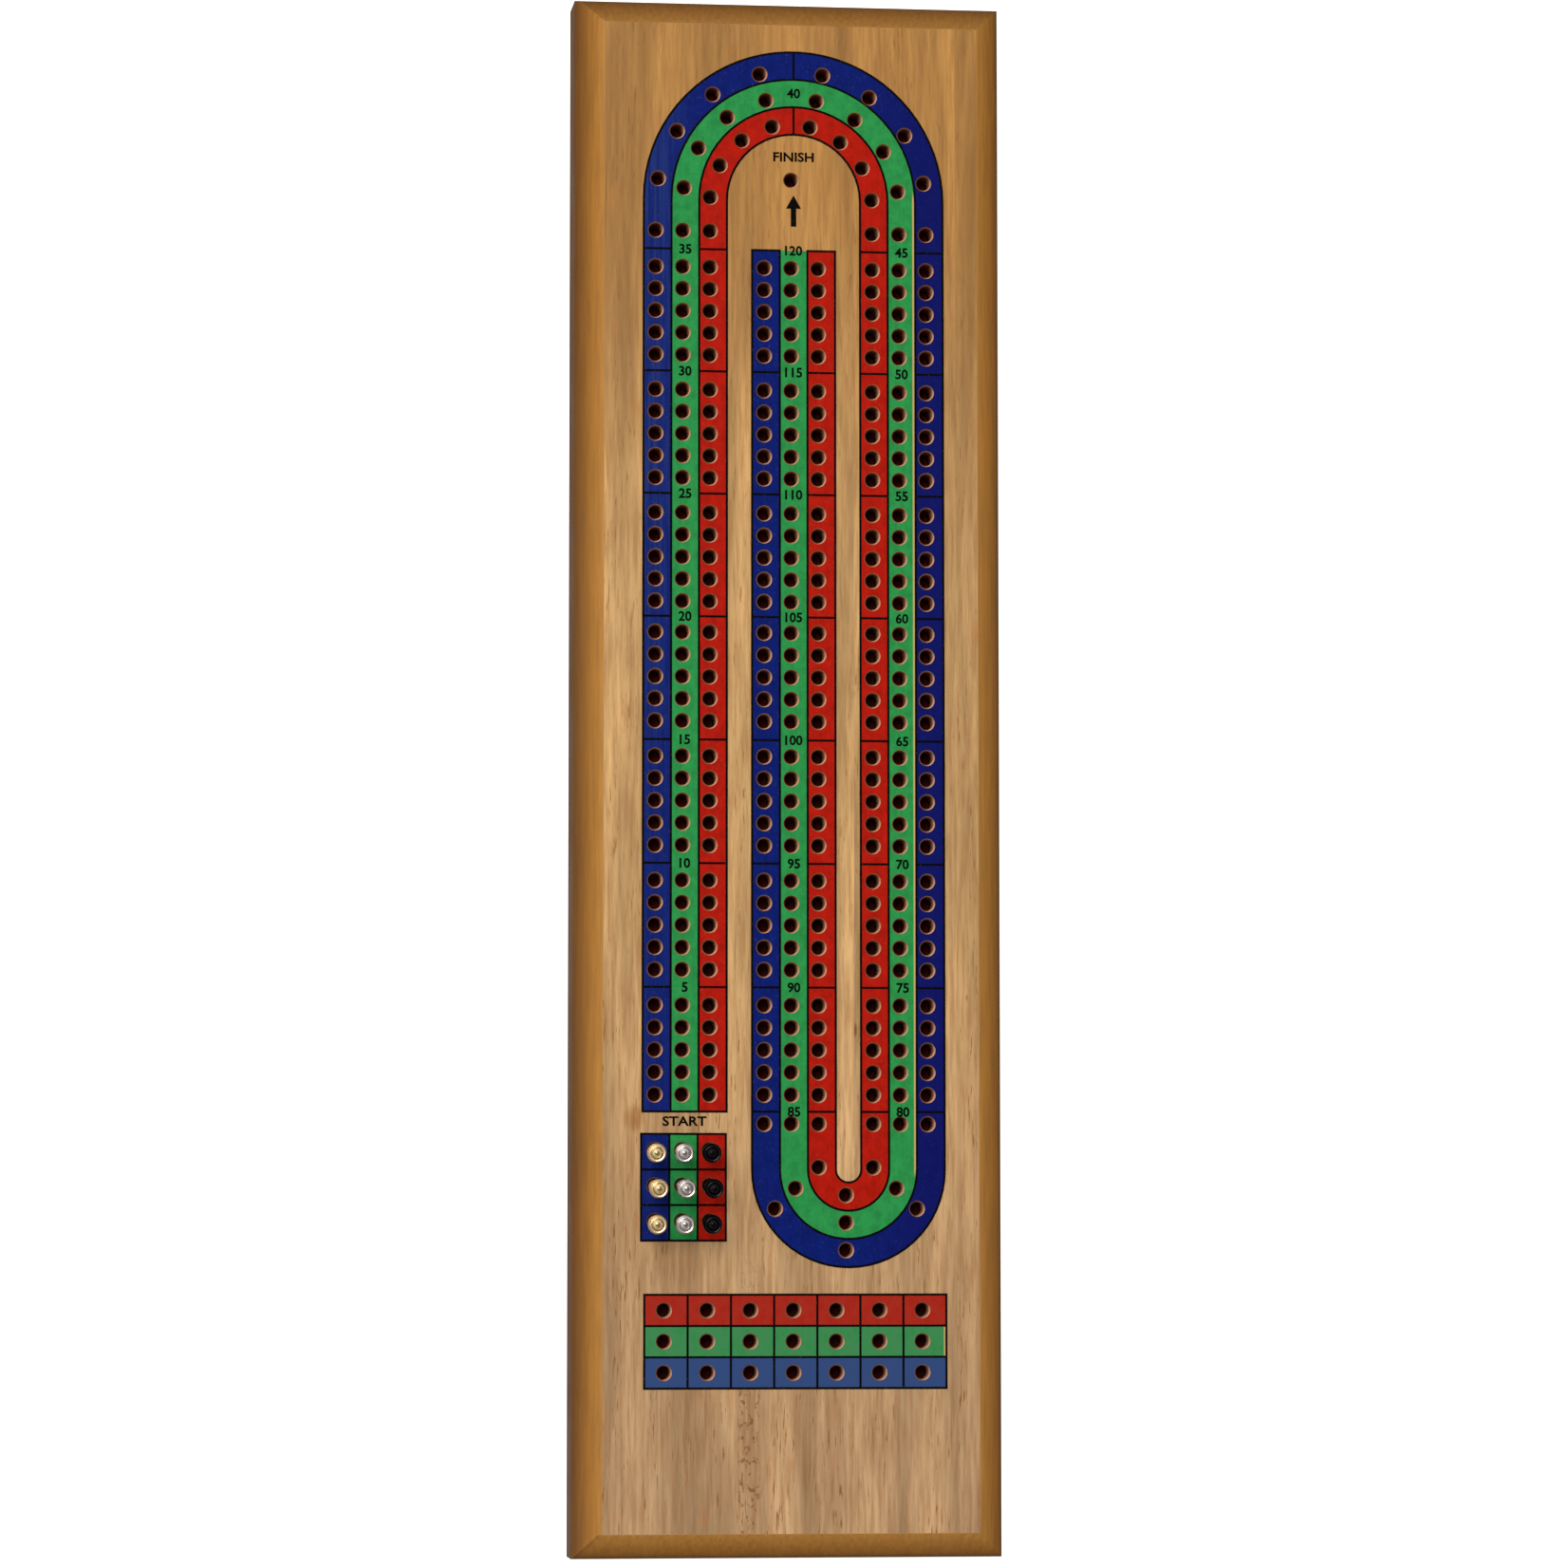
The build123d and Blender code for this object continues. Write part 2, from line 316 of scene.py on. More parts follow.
def give_bump(nodes, shader, height, distance, strength):
    bump = nodes.add("ShaderNodeBump", {"Height": height, "Distance": distance, "Strength": strength})
    nodes.put(bump.outputs[0], shader.inputs["Normal"])


# ---------------------------------------------------------------- shared effects


def wood_grain_group():
    """Fine fibre, broad figure and open pores that all run along Y."""
    masks = ["Fibre", "Figure", "Pores", "Flecks"]
    tree, given, result = new_group("wood_grain", [("Vector", "Vector")], masks)
    nodes = Nodes(tree)
    vector = given["Vector"]
    fibre = nodes.noise(vector, (1000, 62, 1000), detail=5, roughness=0.62)
    figure = nodes.noise(vector, (125, 9, 125), detail=4, distortion=0.5)
    dashes = nodes.noise(vector, (2300, 190, 2300), detail=2)
    patches = nodes.noise(vector, (260, 30, 260), detail=2)
    pores = nodes.math("MULTIPLY", nodes.span(dashes, 0.58, 0.70), nodes.span(patches, 0.42, 0.62))
    flecks = nodes.span(nodes.noise(vector, (800, 100, 800), detail=3), 0.60, 0.74)
    for name, value in (("Fibre", fibre), ("Figure", figure), ("Pores", pores), ("Flecks", flecks)):
        nodes.put(value, result[name])


def board_zones_group():
    """Where on the board a point is: bevel and sides, how far out, which bevel side gets painted light or
    shade, and lip and bore of a hole, where the painted rim light and the painted bore shade go.

    The tone of the left bevel runs a little way onto the face.
    """
    sizes = [("Vector", "Vector"), ("Half Width", "Float"), ("Half Length", "Float"), ("Bevel", "Float")]
    masks = ["Edge", "Shoulder", "Painted Side Light", "Lip", "Bore"]
    tree, given, result = new_group("board_zones", [*sizes, ("Thick", "Float")], masks)
    nodes = Nodes(tree)
    x, y, z = nodes.parts(given["Vector"])
    left_band = nodes.span(x, -20 * MM, -30 * MM, 0.0, LEFT_TONE_REACH)
    reach = nodes.math("ADD", nodes.math("ABSOLUTE", x), left_band)
    beyond_side = nodes.math("SUBTRACT", reach, given["Half Width"])
    beyond_end = nodes.math("SUBTRACT", nodes.math("ABSOLUTE", y), given["Half Length"])
    inward = nodes.math("MAXIMUM", beyond_side, beyond_end)
    across = nodes.math("ADD", nodes.math("DIVIDE", inward, given["Bevel"]), 1.0)
    on_face = nodes.span(across, -0.02, 0.01)
    below = nodes.math("SUBTRACT", given["Thick"], z)
    drilled = nodes.span(z, HOLE_FLOOR, HOLE_FLOOR + 0.6 * MM)
    inside = nodes.math("MULTIPLY", nodes.math("SUBTRACT", 1.0, on_face), drilled)
    lip = nodes.math("MULTIPLY", nodes.span(below, 0.02 * MM, 0.08 * MM), inside)
    # Painted shade deeper inside a hole, from just under the face down towards the hole floor.
    bore = nodes.math("MULTIPLY", nodes.span(below, 1.2 * MM, 7.5 * MM), inside)
    at_end = nodes.span(nodes.math("SUBTRACT", beyond_end, beyond_side), -0.1 * MM, 0.1 * MM)
    at_side = nodes.math("SUBTRACT", 1.0, at_end)
    right = nodes.math("MULTIPLY", nodes.span(x, -1 * MM, 1 * MM), at_side)
    bottom = nodes.math("MULTIPLY", nodes.span(y, 1 * MM, -1 * MM), at_end)
    nodes.put(nodes.math("MULTIPLY", on_face, nodes.span(z, 0.05 * MM, 0.6 * MM)), result["Edge"])
    nodes.put(nodes.span(across, 0.0, 1.0, smooth=False), result["Shoulder"])
    # Which bevel side is painted lighter: the right side and the foot fully, the left side partly, the top
    # end not at all.
    left = nodes.math("SUBTRACT", at_side, right)
    far = nodes.math("ADD", right, bottom)
    far = nodes.math("ADD", far, nodes.math("MULTIPLY", left, LEFT_PAINTED_SIDE_LIGHT))
    nodes.put(far, result["Painted Side Light"])
    nodes.put(lip, result["Lip"])
    nodes.put(bore, result["Bore"])


def ink_wear_group():
    """Cloudy coverage of thin ink, pinholes where it missed the wood, and fibres that show through."""
    tree, given, result = new_group("ink_wear", [("Vector", "Vector")], ["Cloud", "Pinholes", "Fibre"])
    nodes = Nodes(tree)
    vector = given["Vector"]
    cloud = nodes.noise(vector, (420, 300, 420), detail=4, roughness=0.7)
    pinholes = nodes.span(nodes.noise(vector, (2600, 1500, 2600), detail=1), 0.66, 0.74)
    fibre = nodes.noise(vector, (1500, 60, 1500), detail=3)
    for name, value in (("Cloud", cloud), ("Pinholes", pinholes), ("Fibre", fibre)):
        nodes.put(value, result[name])


def handling_group():
    """Fine scratches and soft smudges that change the gloss of a handled surface."""
    sockets = [("Vector", "Vector"), ("Scale", "Float")]
    tree, given, result = new_group("handling", sockets, ["Scratches", "Smudge"])
    nodes = Nodes(tree)
    scaled = nodes.add("ShaderNodeVectorMath", operation="SCALE")
    nodes.put(given["Vector"], scaled.inputs[0])
    nodes.put(given["Scale"], scaled.inputs["Scale"])
    one_way = nodes.noise(scaled.outputs[0], (9.0, 0.5, 3.0), detail=3, distortion=0.4)
    other_way = nodes.noise(scaled.outputs[0], (0.6, 8.0, 3.0), detail=3, distortion=0.4)
    scratches = nodes.math("MAXIMUM", nodes.span(one_way, 0.60, 0.70), nodes.span(other_way, 0.62, 0.72))
    nodes.put(scratches, result["Scratches"])
    nodes.put(nodes.noise(scaled.outputs[0], (0.7, 0.7, 0.7), detail=3), result["Smudge"])


# ---------------------------------------------------------------- materials


def soft_spot(nodes, vector, centre, radii):
    """1 at a point of the face and 0 past its radii, at any depth below it."""
    x, y, _ = nodes.parts(vector)
    sideways = nodes.math("DIVIDE", nodes.math("SUBTRACT", x, centre[0]), radii[0])
    forward = nodes.math("DIVIDE", nodes.math("SUBTRACT", y, centre[1]), radii[1])
    squares = nodes.math("ADD", nodes.math("POWER", sideways, 2.0), nodes.math("POWER", forward, 2.0))
    return nodes.span(squares, 0.0, 1.0, 1.0, 0.0)


def grey(nodes, level):
    return nodes.add("ShaderNodeCombineColor", {"Red": level, "Green": level, "Blue": level}).outputs[0]


def facing_key(nodes):
    """1 on surfaces that face the upper left, where the key light falls, as the far rim of a hole does,
    and 0 on the others: where the rim of a hole gets its painted highlight.
    """
    facing = nodes.add("ShaderNodeVectorMath", operation="DOT_PRODUCT")
    nodes.put(nodes.add("ShaderNodeTexCoord").outputs["Normal"], facing.inputs[0])
    facing.inputs[1].default_value = PAINTED_RIM_LIGHT_FACING
    return nodes.span(facing.outputs["Value"], 0.1, 0.75)


def stave_material(stave, tone, offset, marks):
    """Oiled hardwood of one stave, burnished on its bevels, with painted light and shade that differ from
    one bevel side to the next. Each hole's rim is raw wood, painted as a highlight on the side towards the
    key light and as shade on the other side, and the holes have painted shade deep inside.

    Each mark is its middle, its reach, its strength and its colour.
    """
    colours = settings().colours
    board = settings().board
    material, nodes, shader = new_material("wood_" + stave)
    place = nodes.object_vector()
    grain = nodes.group("wood_grain", Vector=nodes.object_vector(offset))
    half_width = cad_high.x
    half_length = cad_high.y
    zones = nodes.group(
        "board_zones",
        **{"Vector": place, "Half Width": half_width, "Half Length": half_length},
        Bevel=board.bevel,
        Thick=board.thick,
    )
    _, y, _ = nodes.parts(place)
    upper = nodes.span(y, 0.03, 0.145)
    lower = nodes.span(y, 0.01, -0.9 * half_length)
    base = nodes.mix(upper, opaque(colours.wood_middle), opaque(colours.wood_top))
    base = nodes.mix(lower, base, opaque(colours.wood_foot))
    base = nodes.mix(1.0, base, opaque([tone] * 3), "MULTIPLY")
    shade = nodes.span(grain["Figure"], 0.3, 0.72, 0.66, 1.32, smooth=False)
    base = nodes.mix(1.0, base, grey(nodes, shade), "MULTIPLY")
    thin = nodes.span(grain["Fibre"], 0.38, 0.64, 0.0, 1.0, smooth=False)
    base = nodes.mix(thin, base, nodes.mix(0.5, base, opaque(colours.pore)))
    strength = nodes.span(y, 0.10, -0.15, 0.55, 1.0)
    base = nodes.mix(nodes.math("MULTIPLY", grain["Pores"], strength), base, opaque(colours.pore))
    warm = nodes.math("MULTIPLY", grain["Flecks"], 0.36)
    fleck_brown = srgb(172, 108, 52)
    base = nodes.mix(warm, base, opaque(fleck_brown))
    for centre, radii, amount, shade_colour in marks:
        spot = soft_spot(nodes, place, centre, radii)
        ragged = nodes.math("MULTIPLY", spot, nodes.span(grain["Fibre"], 0.35, 0.6, 0.5, 1.0))
        base = nodes.mix(nodes.math("MULTIPLY", ragged, amount), base, opaque(shade_colour))
    if stave == "centre_stave":
        base = knotty_streak(nodes, place, base, colours.pore)
    inner = nodes.span(zones["Shoulder"], 0.0, 0.5, smooth=False)
    outer = nodes.span(zones["Shoulder"], 0.5, 1.0, smooth=False)
    toned = nodes.mix(inner, opaque(colours.burnish), opaque(colours.side))
    toned = nodes.mix(outer, toned, opaque(colours.outline))
    streaks = nodes.span(grain["Fibre"], 0.3, 0.7, 0.84, 1.12)
    # Painted light and shade per bevel side, over the fibre streaks.
    side_light_factor = nodes.span(zones["Painted Side Light"], 0.0, 1.0, *PAINTED_BEVEL_SIDE_LIGHT, smooth=False)
    streaks_and_side_light = nodes.math("MULTIPLY", streaks, side_light_factor)
    toned = nodes.mix(1.0, toned, grey(nodes, streaks_and_side_light), "MULTIPLY")
    base = nodes.mix(nodes.math("MULTIPLY", zones["Edge"], 0.94), base, toned)
    # Rim of each hole: raw wood painted as a highlight where it faces the key light, painted shade
    # elsewhere.
    rim = nodes.mix(facing_key(nodes), opaque(colours.rim_shade), opaque(colours.raw_wood))
    base = nodes.mix(nodes.math("MULTIPLY", zones["Lip"], 0.95), base, rim)
    # Painted shade deep inside each hole.
    base = nodes.mix(zones["Bore"], base, opaque(colours.bore))
    nodes.put(base, shader.inputs["Base Color"])
    smudge = nodes.group("handling", Vector=place, Scale=90.0)["Smudge"]
    gloss = nodes.span(smudge, 0.3, 0.7, 0.40, 0.54)
    gloss = nodes.math("ADD", gloss, nodes.math("MULTIPLY", grain["Pores"], 0.2))
    gloss = nodes.math("ADD", gloss, nodes.math("MULTIPLY", zones["Lip"], 0.3), clamp=True)
    nodes.put(gloss, shader.inputs["Roughness"])
    shader.inputs["Specular IOR Level"].default_value = WOOD_SPECULAR
    relief = nodes.math("SUBTRACT", nodes.math("MULTIPLY", grain["Fibre"], 0.5), grain["Pores"])
    give_bump(nodes, shader, relief, 0.05 * MM, 0.55)
    return material


def knotty_streak(nodes, place, base, dark):
    """A column of short dark ticks where the centre stave runs out of straight grain."""
    x, y, _ = nodes.parts(place)
    column_x = -9.6 * MM
    starts_y = -106 * MM
    full_y = -140 * MM
    sideways = nodes.math("ABSOLUTE", nodes.math("SUBTRACT", x, column_x))
    column = nodes.span(sideways, 1.6 * MM, 3.2 * MM, 1.0, 0.0)
    below = nodes.span(y, starts_y, full_y)
    ticks = nodes.span(nodes.noise(place, (760, 430, 760), detail=2, distortion=1.2), 0.55, 0.62)
    amount = nodes.math("MULTIPLY", nodes.math("MULTIPLY", column, below), ticks)
    return nodes.mix(nodes.math("MULTIPLY", amount, 0.75), base, opaque([0.7 * level for level in dark]))


def ink_material(name, ink, under, roughness):
    """Thin screen-printed ink that the wood shows through a little."""
    material, nodes, shader = new_material(name)
    place = nodes.object_vector()
    wear = nodes.group("ink_wear", Vector=place)
    pale = opaque([1.08 * level for level in ink])
    deep = opaque([0.78 * level for level in ink])
    base = nodes.mix(nodes.span(wear["Cloud"], 0.32, 0.68), deep, pale)
    base = nodes.mix(nodes.math("MULTIPLY", nodes.span(wear["Fibre"], 0.45, 0.7), 0.5), base, pale)
    base = nodes.mix(nodes.math("MULTIPLY", wear["Pinholes"], 0.04), base, opaque(under))
    if name == "blue_ink":
        base = faded_blue(nodes, place, wear, base)
    if name == "green_ink":
        base = worn_tally(nodes, place, wear, base, srgb(60, 122, 74))
        base = bare_seam(nodes, place, base, under)
    if name == "red_ink":
        base = worn_tally(nodes, place, wear, base, srgb(150, 40, 28))
    nodes.put(base, shader.inputs["Base Color"])
    shader.inputs["Specular IOR Level"].default_value = INK_SPECULAR
    gloss = nodes.span(wear["Cloud"], 0.3, 0.7, roughness - 0.07, roughness + 0.08)
    nodes.put(gloss, shader.inputs["Roughness"])
    fibres = nodes.math("MULTIPLY", wear["Fibre"], 0.6)
    clouds = nodes.math("MULTIPLY", wear["Cloud"], 0.4)
    give_bump(nodes, shader, nodes.math("ADD", fibres, clouds), 0.02 * MM, 0.5)
    return material


def faded_blue(nodes, place, wear, base):
    """Blue that is thin in the left lane, deepest on the right, and lighter in the tally."""
    x, y, _ = nodes.parts(place)
    leftward = nodes.span(x, -20 * MM, -34 * MM)
    upward = nodes.span(y, -40 * MM, 90 * MM, 0.35, 1.0)
    left = nodes.math("MULTIPLY", leftward, upward)
    streaks = nodes.span(wear["Fibre"], 0.38, 0.62, 0.25, 1.0)
    thin = nodes.math("MULTIPLY", nodes.math("MULTIPLY", left, streaks), 0.75)
    rightward = nodes.math("MULTIPLY", nodes.span(x, 14 * MM, 34 * MM), 0.7)
    tally = nodes.math("MULTIPLY", nodes.span(y, -125 * MM, -133 * MM), 0.85)
    thin_blue = srgb(34, 50, 104)
    deep_blue = srgb(13, 14, 82)
    tally_blue = srgb(50, 72, 114)
    base = nodes.mix(thin, base, opaque(thin_blue))
    base = nodes.mix(rightward, base, opaque(deep_blue))
    return nodes.mix(tally, base, opaque(tally_blue))


def worn_tally(nodes, place, wear, base, worn):
    """Ink that has gone dull in the tally at the foot of the board."""
    _, y, _ = nodes.parts(place)
    at_tally = nodes.span(y, -120 * MM, -122 * MM)
    cloudy = nodes.span(wear["Cloud"], 0.3, 0.65, 0.45, 0.95)
    return nodes.mix(nodes.math("MULTIPLY", at_tally, cloudy), base, opaque(worn))


def bare_seam(nodes, place, base, under):
    """A hairline of bare wood where the green screen stopped short on the right."""
    x, y, _ = nodes.parts(place)
    lane_seam = nodes.span(x, 29.35 * MM, 29.5 * MM)
    at_tally = nodes.span(y, -125 * MM, -126 * MM)
    tally_seam = nodes.math("MULTIPLY", at_tally, nodes.span(x, 36.3 * MM, 36.5 * MM))
    straight = nodes.math("MULTIPLY", lane_seam, nodes.span(y, 139 * MM, 137 * MM))
    straight = nodes.math("MULTIPLY", straight, nodes.span(y, -96 * MM, -93 * MM))
    seam = nodes.math("MAXIMUM", straight, tally_seam)
    return nodes.mix(nodes.math("MULTIPLY", seam, 0.8), base, opaque(under))


def plate_material(name, base_colour, tarnish_and_painted_shade, roughness):
    """Plated, turned metal with turning rings, fine scratches and patchy tarnish. The rim of the head
    keeps the bright plate as a painted highlight, and the crown and the body below are darkened towards
    the tarnish colour as painted shade.
    """
    material, nodes, shader = new_material(name)
    place = nodes.object_vector()
    marks = nodes.group("handling", Vector=place, Scale=700.0)
    along = nodes.add("ShaderNodeAttribute", attribute_name="along").outputs["Fac"]
    ring_step = 0.16 * MM
    rings = nodes.math("SINE", nodes.math("MULTIPLY", along, 2 * math.pi / ring_step))
    patchy = nodes.span(marks["Smudge"], 0.45, 0.7)
    # Painted reflection: everything but the rim of the head, the crown included, is darkened towards the
    # tarnish colour as painted shade, so the rim reads as a bright ring; the patchy part is real tarnish.
    painted_shade_off_rim = nodes.span(along, 20.52 * MM, 20.42 * MM)
    worn = nodes.math(
        "MAXIMUM", nodes.math("MULTIPLY", patchy, 0.3), nodes.math("MULTIPLY", painted_shade_off_rim, 0.85)
    )
    base = nodes.mix(worn, opaque(base_colour), opaque(tarnish_and_painted_shade))
    nodes.put(base, shader.inputs["Base Color"])
    shader.inputs["Metallic"].default_value = 1.0
    gloss = nodes.span(marks["Smudge"], 0.3, 0.7, roughness, roughness + 0.12)
    gloss = nodes.math("ADD", gloss, nodes.math("MULTIPLY", marks["Scratches"], 0.14))
    nodes.put(gloss, shader.inputs["Roughness"])
    relief = nodes.math("ADD", nodes.math("MULTIPLY", rings, 0.5), marks["Scratches"])
    give_bump(nodes, shader, relief, 0.002 * MM, 0.25)
    return material


def steel_material():
    """Brushed steel sheet, brushed across the door, with scratches along its travel."""
    material, nodes, shader = new_material("door_steel")
    place = nodes.object_vector()
    brushing = nodes.noise(place, (90, 5200, 90), detail=3)
    rubbed = nodes.span(nodes.noise(place, (2600, 26, 2600), detail=2), 0.62, 0.72)
    marks = nodes.group("handling", Vector=place, Scale=160.0)
    steel = settings().colours.steel
    brushed = [0.86 * level for level in steel]
    smudged = srgb(140, 136, 130)
    base = nodes.mix(nodes.span(brushing, 0.3, 0.7), opaque(brushed), opaque(steel))
    base = nodes.mix(nodes.math("MULTIPLY", marks["Smudge"], 0.25), base, opaque(smudged))
    nodes.put(base, shader.inputs["Base Color"])
    shader.inputs["Metallic"].default_value = 1.0
    gloss = nodes.span(brushing, 0.3, 0.7, 0.28, 0.44)
    gloss = nodes.math("SUBTRACT", gloss, nodes.math("MULTIPLY", rubbed, 0.12))
    nodes.put(gloss, shader.inputs["Roughness"])
    relief = nodes.math("ADD", brushing, nodes.math("MULTIPLY", rubbed, -0.8))
    give_bump(nodes, shader, relief, 0.01 * MM, 0.5)
    return material


# ---------------------------------------------------------------- pieces


def paint(piece, material):
    piece.data.materials.clear()
    piece.data.materials.append(material)


def finish_mesh(bm, name, material, smooth_below=None):
    """An object at the origin from a bmesh, its faces outward."""
    bmesh.ops.remove_doubles(bm, verts=bm.verts[:], dist=1e-7)
    bmesh.ops.recalc_face_normals(bm, faces=bm.faces[:])
    mesh = bpy.data.meshes.new(name)
    bm.to_mesh(mesh)
    bm.free()
    if smooth_below is not None:
        mesh.shade_smooth()
        mesh.set_sharp_from_angle(angle=smooth_below)
    piece = bpy.data.objects.new(name, mesh)
    bpy.context.scene.collection.objects.link(piece)
    paint(piece, material)
    return piece


def black_ink():
    """The ink of the printed lines, which the lettering shares."""
    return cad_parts["black_ink"].data.materials[0]


def lettering(bm, text, centre, height, base_z, width=None):
    """Adds text of that height to bm, lying on base_z, its middle at centre."""
    writing = bpy.data.curves.new("writing", "FONT")
    writing.body = text
    writing.resolution_u = LETTER_CURVE_STEPS
    writing.offset = LETTER_WEIGHT
    holder = bpy.data.objects.new("writing", writing)
    bpy.context.scene.collection.objects.link(holder)
    bpy.context.view_layer.update()
    mesh = bpy.data.meshes.new_from_object(holder)
    low = Vector((min(v.co.x for v in mesh.vertices), min(v.co.y for v in mesh.vertices), 0))
    high = Vector((max(v.co.x for v in mesh.vertices), max(v.co.y for v in mesh.vertices), 0))
    tall = height / (high.y - low.y)
    wide = width / (high.x - low.x) if width else tall
    middle = (low + high) / 2
    scale = Matrix.Diagonal((wide, tall, 1, 1))
    mesh.transform(Matrix.Translation((*centre, base_z)) @ scale @ Matrix.Translation(-middle))
    before = set(bm.faces)
    bm.from_mesh(mesh)
    flat = [face for face in bm.faces if face not in before]
    raised = bmesh.ops.extrude_face_region(bm, geom=flat)["geom"]
    top = [item for item in raised if isinstance(item, bmesh.types.BMVert)]
    bmesh.ops.translate(bm, verts=top, vec=(0, 0, settings().board.ink))
    bpy.data.objects.remove(holder)
    bpy.data.curves.remove(writing)
    bpy.data.meshes.remove(mesh)


def arc(start, through, end, steps):
    """Points of the circular arc from start, which is left out, through a point and up to end."""
    a, b, c = (Vector(point) for point in (start, through, end))
    twice = 2 * ((b - a).x * (c - a).y - (b - a).y * (c - a).x)
    first = (b - a).length_squared
    second = (c - a).length_squared
    centre = a + Vector((
        ((c - a).y * first - (b - a).y * second) / twice,
        ((b - a).x * second - (c - a).x * first) / twice,
    ))
    radius = (a - centre).length
    from_angle = math.atan2((a - centre).y, (a - centre).x)
    turn = math.atan2((c - centre).y, (c - centre).x) - from_angle
    by_way = (math.atan2((b - centre).y, (b - centre).x) - from_angle) % (2 * math.pi)
    turn %= 2 * math.pi
    if by_way > turn:
        turn -= 2 * math.pi
    angles = [from_angle + turn * step / steps for step in range(1, steps + 1)]
    return [(centre.x + radius * math.cos(angle), centre.y + radius * math.sin(angle)) for angle in angles]


def peg_profile():
    """Half outline of a peg, from the tip to the crown, as radius and height in millimetres."""
    top = 20
    shank = 9.5
    rim = 18.5
    neck = 1.3
    crown = 1.35
    fine = 8
    bead_top = (1.2, shank + 1.1)
    shoulder = (2.2, rim - 0.2)
    lip = (2.05, rim + 0.6)

    def on_crown(degrees):
        """A point of the domed crown, that far round from the top."""
        round_from_top = math.radians(degrees)
        return (crown * math.sin(round_from_top), top - crown + crown * math.cos(round_from_top))

    points = [(0, 0), (0.7, 0), (0.85, 0.3), (neck, shank)]
    points += arc((neck, shank), (1.65, shank + 0.55), bead_top, fine)
    points += arc(bead_top, (neck, rim - 3.0), shoulder, 2 * fine)
    points += arc(shoulder, (2.26, rim + 0.2), lip, fine)
    points += arc(lip, (1.55, rim + 0.42), on_crown(60), fine)
    points += arc(on_crown(60), on_crown(30), (0, top), fine)
    return points


def turned_peg(name, material, hole, row):
    """A peg turned on its axis, then stood in its hole with its lean.

    Its "along" attribute is height plus radius, so the turning rings run on across the head.
    """
    pegs = settings().pegs
    bm = bmesh.new()
    verts = [bm.verts.new((radius * MM, 0, height * MM)) for radius, height in peg_profile()]
    edges = [bm.edges.new(pair) for pair in zip(verts, verts[1:])]
    bmesh.ops.spin(
        bm,
        geom=verts + edges,
        cent=(0, 0, 0),
        axis=(0, 0, 1),
        angle=2 * math.pi,
        steps=pegs.turns,
        use_merge=True,
    )
    layer = bm.verts.layers.float.new("along")
    for vert in bm.verts:
        vert[layer] = vert.co.z + vert.co.xy.length
    side = math.sin(pegs.side_lean[row])
    forward = -math.sin(pegs.lean)
    axis = Vector((side, forward, math.sqrt(1 - side * side - forward * forward)))
    push = Vector((axis.x, axis.y, 0)).normalized() * pegs.tip_offset
    tip = Vector((*hole, pegs.hole_bottom)) - push
    stand = Matrix.Translation(tip) @ axis.to_track_quat("Z", "Y").to_matrix().to_4x4()
    bmesh.ops.transform(bm, matrix=stand, verts=bm.verts[:])
    return finish_mesh(bm, name, material, math.radians(32))


class CRIBBAGE_OT_finish_staves(bpy.types.Operator):
    """Gives the four glued staves their oiled wood"""

    bl_idname = "cribbage.finish_staves"
    bl_label = "Finish the staves"

    def execute(self, context):
        brown = srgb(142, 92, 44)
        umber = srgb(128, 88, 54)
        knot = srgb(96, 54, 24)
        tones = {"left_stave": 0.92, "centre_stave": 1.0, "right_stave": 1.0, "edge_stave": 0.88}
        marks = {
            "left_stave": [
                ((-36.5 * MM, -81.5 * MM), (3.2 * MM, 4.0 * MM), 0.75, brown),
                ((-22 * MM, -151 * MM), (5 * MM, 16 * MM), 0.42, umber),
                ((-27 * MM, -114 * MM), (7 * MM, 9 * MM), 0.32, umber),
            ],
            "centre_stave": [
                ((-9.5 * MM, -152 * MM), (3.4 * MM, 22 * MM), 0.36, umber),
                ((4 * MM, -158 * MM), (4 * MM, 14 * MM), 0.22, umber),
            ],
            "right_stave": [
                ((15.6 * MM, -60.7 * MM), (0.5 * MM, 2.2 * MM), 0.8, knot),
                ((21 * MM, -156 * MM), (5 * MM, 14 * MM), 0.34, umber),
            ],
        }
        for index, stave in enumerate(STAVES):
            offset = (0.031 * index, 0.37 * index, 0.013 * index)
            material = stave_material(stave, tones[stave], offset, marks.get(stave, []))
            paint(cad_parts[stave], material)
        return {"FINISHED"}


class CRIBBAGE_OT_colour_print(bpy.types.Operator):
    """Gives the coloured lanes and the black lines their ink"""

    bl_idname = "cribbage.colour_print"
    bl_label = "Colour the print"

    def execute(self, context):
        colours = settings().colours
        wood = list(colours.wood_middle)
        for name in ("blue", "green", "red", "black"):
            ink = list(getattr(colours, name))
            roughness = 0.5 if name == "black" else 0.42
            material = ink_material(name + "_ink", ink, wood, roughness)
            paint(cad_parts[name + "_ink"], material)
        return {"FINISHED"}


